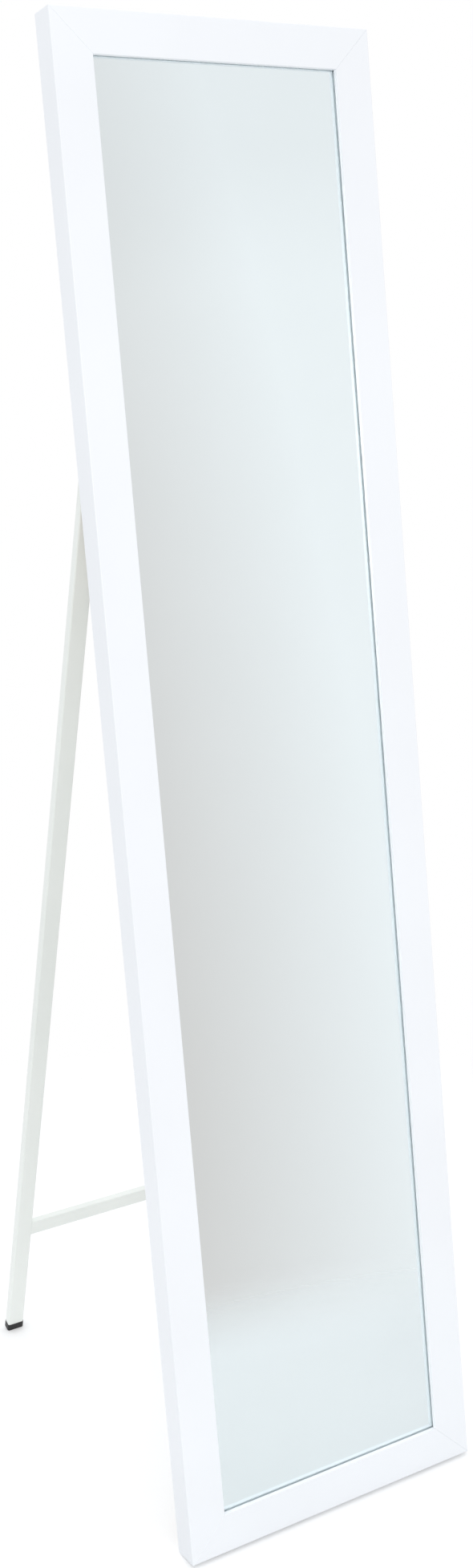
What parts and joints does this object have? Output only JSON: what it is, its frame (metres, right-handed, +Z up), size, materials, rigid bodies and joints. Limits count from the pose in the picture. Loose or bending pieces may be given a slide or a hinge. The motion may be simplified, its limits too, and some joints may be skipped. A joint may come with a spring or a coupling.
{
  "type": "floor mirror",
  "caption": "Tall narrow framed mirror that leans back on a hinged tube stand; the stand folds flat against the back of the frame.",
  "frame": {"origin": "on the floor, in the middle of the footprint: halfway across the width and halfway between the front edge of the frame and the rear of the feet", "axes": "+Z up, -Y towards the viewer of the mirror, +X to that viewer's right; the frame leans back towards +Y"},
  "size_m": [0.349, 0.5152, 1.5158],
  "materials": {
    "frame_foil": "fibreboard moulding wrapped in smooth white foil, satin",
    "glass": "clear float glass, polished",
    "silver": "silvered, grey protective paint behind",
    "foam": "white foam sheet",
    "hardboard": "hardboard with an off-white lacquered face to the rear",
    "plain_steel": "bright sheet steel",
    "zinc_plate": "zinc-plated steel",
    "stand_paint": "powder-coated tube, off-white, semi-gloss",
    "black_plastic": "black polyethylene, fine moulded texture",
    "nylon": "natural nylon"
  },
  "bodies": {
    "mirror_frame": {"left_stile": "frame_foil", "right_stile": "frame_foil", "top_rail": "frame_foil", "bottom_rail": "frame_foil", "corner_nails": "plain_steel", "glass_sheet": "glass", "silver_layer": "silver", "foam_sheet": "foam", "back_board": "hardboard", "retaining_points": "plain_steel", "left_bracket": "zinc_plate", "right_bracket": "zinc_plate", "left_bracket_screws": "zinc_plate", "right_bracket_screws": "zinc_plate", "left_pivot_bolt": "zinc_plate", "right_pivot_bolt": "zinc_plate", "left_lock_nut": "zinc_plate", "right_lock_nut": "zinc_plate", "left_washers": "nylon", "right_washers": "nylon"},
    "stand": {"left_leg": "stand_paint", "right_leg": "stand_paint", "left_pivot_bush": "nylon", "right_pivot_bush": "nylon", "cross_bar": "stand_paint", "left_top_plug": "black_plastic", "right_top_plug": "black_plastic", "left_foot_cap": "black_plastic", "right_foot_cap": "black_plastic"}
  },
  "joints": [
    {"name": "stand_fold", "type": "hinge", "parent": "mirror_frame", "child": "stand", "pos_m": [0, -0.08348, 1.10177], "axis": [1, 0, 0], "range_deg": [-24, 0]}
  ]
}
